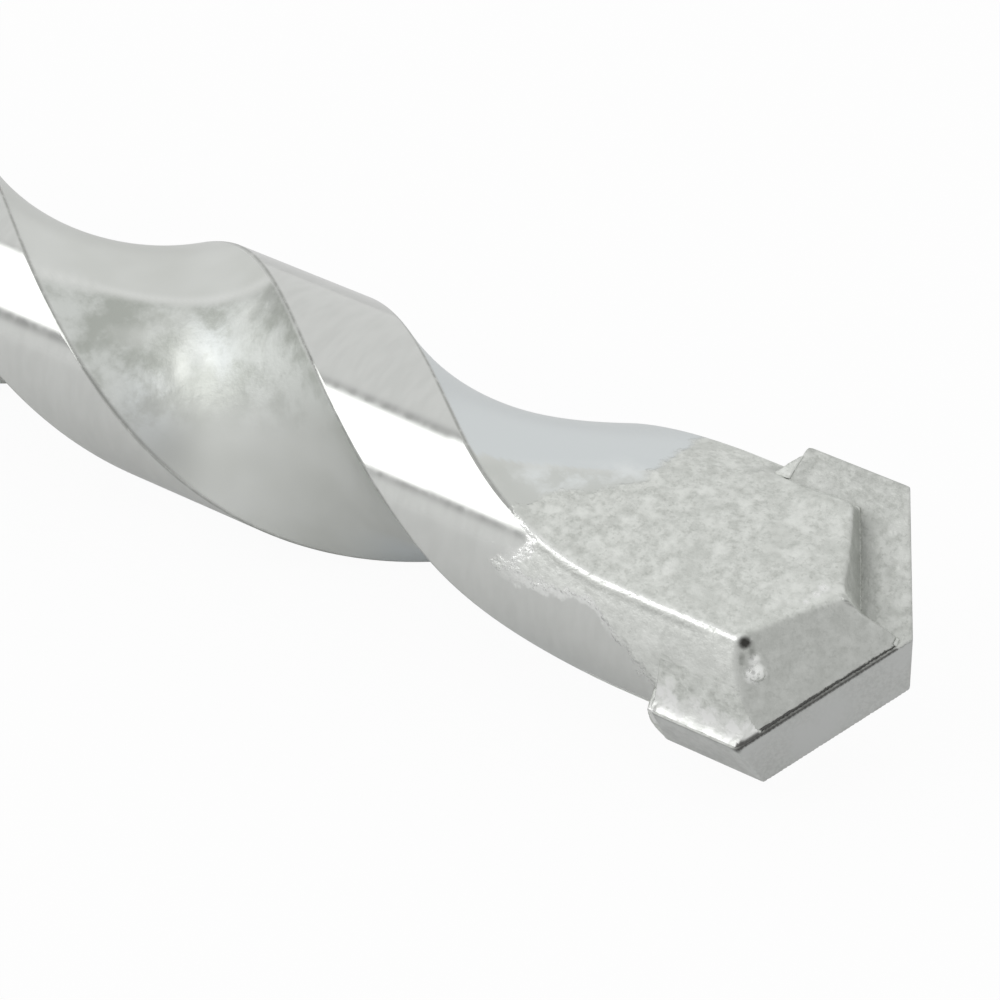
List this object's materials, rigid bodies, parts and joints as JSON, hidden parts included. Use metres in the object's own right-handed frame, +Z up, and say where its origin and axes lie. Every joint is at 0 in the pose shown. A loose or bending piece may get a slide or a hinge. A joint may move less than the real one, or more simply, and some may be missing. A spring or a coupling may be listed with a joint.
{
  "type": "masonry drill bit",
  "caption": "Masonry drill bit with a twisted two-flute steel body, a plain round shank and a chevron carbide plate brazed across its head, lying on its side.",
  "frame": {"origin": "on the surface that the drill lies on, under the middle of its length", "axes": "+X along the drill from the shank to the point, +Z up from the surface it lies on"},
  "size_m": [0.12, 0.0098, 0.0088],
  "materials": {
    "steel": "bright satin steel on the lands and shank, sand-blasted grain over the head",
    "carbide": "fine ground tungsten carbide",
    "braze": "bright silver braze, flowed smooth"
  },
  "bodies": {
    "root": {"steel_body": "steel", "carbide_plate": "carbide", "braze": "braze"}
  },
  "joints": []
}
